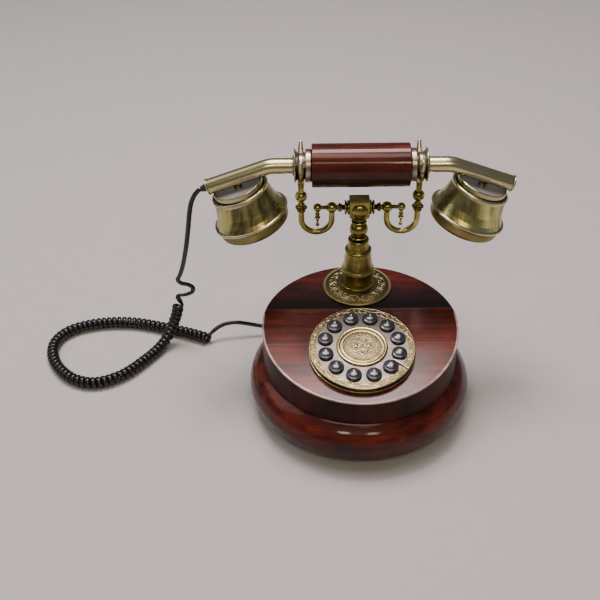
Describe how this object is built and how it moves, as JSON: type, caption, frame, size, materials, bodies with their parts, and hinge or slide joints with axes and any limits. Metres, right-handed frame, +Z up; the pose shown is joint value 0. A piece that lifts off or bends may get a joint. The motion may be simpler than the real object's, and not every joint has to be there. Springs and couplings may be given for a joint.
{
  "type": "french-style cradle phone",
  "caption": "Vintage-style telephone: round wooden base with a sloped key dial, brass column with hooked forks, and a wood and brass handset on a curly cord.",
  "frame": {"origin": "centre of the round base on the surface it stands on, at the bottom of the feet", "axes": "+X to the right seen from the front, +Y to the back, +Z up; the keys face -Y"},
  "size_m": [0.4399, 0.2154, 0.2355],
  "materials": {
    "mahogany": "gloss",
    "antique_brass": "satin",
    "pale_brass": "satin",
    "black_gloss": "gloss",
    "black_matte": "matte",
    "steel": "brushed",
    "rubber": "matte",
    "board": "matte"
  },
  "bodies": {
    "base": {"plinth_ring": "mahogany", "top_block": "mahogany", "column_foot": "antique_brass", "column_sleeve": "antique_brass", "flange": "pale_brass", "dial_plate": "pale_brass", "centre_ring": "pale_brass", "medallion": "pale_brass", "finger_stop": "pale_brass", "dial_trim": "pale_brass", "bottom_plate": "black_matte", "dial_housing": "black_matte", "line_jack": "black_matte", "handset_jack": "black_matte", "ringer_switch": "black_matte", "hook_switch": "black_matte", "plate_screws": "steel", "ballast": "steel", "ringer": "steel", "mounting_tube": "steel", "mounting_nut": "steel", "plunger_spring": "steel", "feet": "rubber", "keypad_mat": "rubber", "cord_lead_handset": "rubber", "cord_curl": "rubber", "cord_lead_base": "rubber", "cord_plug": "rubber", "circuit_board": "board", "keypad_board": "board"},
    "cradle": {"cradle_stem": "antique_brass", "cradle_block": "antique_brass", "cradle_arms": "antique_brass", "drop_finials": "antique_brass", "hooks": "antique_brass", "forks": "antique_brass"},
    "handset": {"grip": "mahogany", "tie_rod": "steel", "collars": "pale_brass", "handset_tubes": "antique_brass", "cup_shells": "antique_brass", "back_discs": "pale_brass", "mouth_cap": "antique_brass", "ear_cap": "antique_brass", "capsules": "steel", "cord_gland": "rubber"},
    "ringer_slider": {"ringer_slider": "steel"},
    "key_1": {"key_1": "black_gloss"},
    "key_2": {"key_2": "black_gloss"},
    "key_3": {"key_3": "black_gloss"},
    "key_4": {"key_4": "black_gloss"},
    "key_5": {"key_5": "black_gloss"},
    "key_6": {"key_6": "black_gloss"},
    "key_7": {"key_7": "black_gloss"},
    "key_8": {"key_8": "black_gloss"},
    "key_9": {"key_9": "black_gloss"},
    "key_0": {"key_0": "black_gloss"},
    "key_star": {"key_star": "black_gloss"},
    "key_hash": {"key_hash": "black_gloss"}
  },
  "joints": [
    {"name": "handset_lift", "type": "slide", "parent": "base", "child": "handset", "axis": [0, 0, 1], "range_m": [0, 0.08]},
    {"name": "cradle_rise", "type": "slide", "parent": "base", "child": "cradle", "axis": [0, 0, 1], "range_m": [0, 0.005], "deforming": ["plunger_spring"]},
    {"name": "ringer_slide", "type": "slide", "parent": "base", "child": "ringer_slider", "axis": [0.1392, 0.9903, 0], "range_m": [0, 0.0056]},
    {"name": "key_1_press", "type": "slide", "parent": "base", "child": "key_1", "axis": [0, 0.1736, -0.9848], "range_m": [0, 0.002], "stiffness_N_per_m": 300},
    {"name": "key_2_press", "type": "slide", "parent": "base", "child": "key_2", "axis": [0, 0.1736, -0.9848], "range_m": [0, 0.002], "stiffness_N_per_m": 300},
    {"name": "key_3_press", "type": "slide", "parent": "base", "child": "key_3", "axis": [0, 0.1736, -0.9848], "range_m": [0, 0.002], "stiffness_N_per_m": 300},
    {"name": "key_4_press", "type": "slide", "parent": "base", "child": "key_4", "axis": [0, 0.1736, -0.9848], "range_m": [0, 0.002], "stiffness_N_per_m": 300},
    {"name": "key_5_press", "type": "slide", "parent": "base", "child": "key_5", "axis": [0, 0.1736, -0.9848], "range_m": [0, 0.002], "stiffness_N_per_m": 300},
    {"name": "key_6_press", "type": "slide", "parent": "base", "child": "key_6", "axis": [0, 0.1736, -0.9848], "range_m": [0, 0.002], "stiffness_N_per_m": 300},
    {"name": "key_7_press", "type": "slide", "parent": "base", "child": "key_7", "axis": [0, 0.1736, -0.9848], "range_m": [0, 0.002], "stiffness_N_per_m": 300},
    {"name": "key_8_press", "type": "slide", "parent": "base", "child": "key_8", "axis": [0, 0.1736, -0.9848], "range_m": [0, 0.002], "stiffness_N_per_m": 300},
    {"name": "key_9_press", "type": "slide", "parent": "base", "child": "key_9", "axis": [0, 0.1736, -0.9848], "range_m": [0, 0.002], "stiffness_N_per_m": 300},
    {"name": "key_0_press", "type": "slide", "parent": "base", "child": "key_0", "axis": [0, 0.1736, -0.9848], "range_m": [0, 0.002], "stiffness_N_per_m": 300},
    {"name": "key_star_press", "type": "slide", "parent": "base", "child": "key_star", "axis": [0, 0.1736, -0.9848], "range_m": [0, 0.002], "stiffness_N_per_m": 300},
    {"name": "key_hash_press", "type": "slide", "parent": "base", "child": "key_hash", "axis": [0, 0.1736, -0.9848], "range_m": [0, 0.002], "stiffness_N_per_m": 300}
  ],
  "couplings": [
    {"joint": "cradle_rise", "follows": "handset_lift", "ratio": 0.0625}
  ]
}
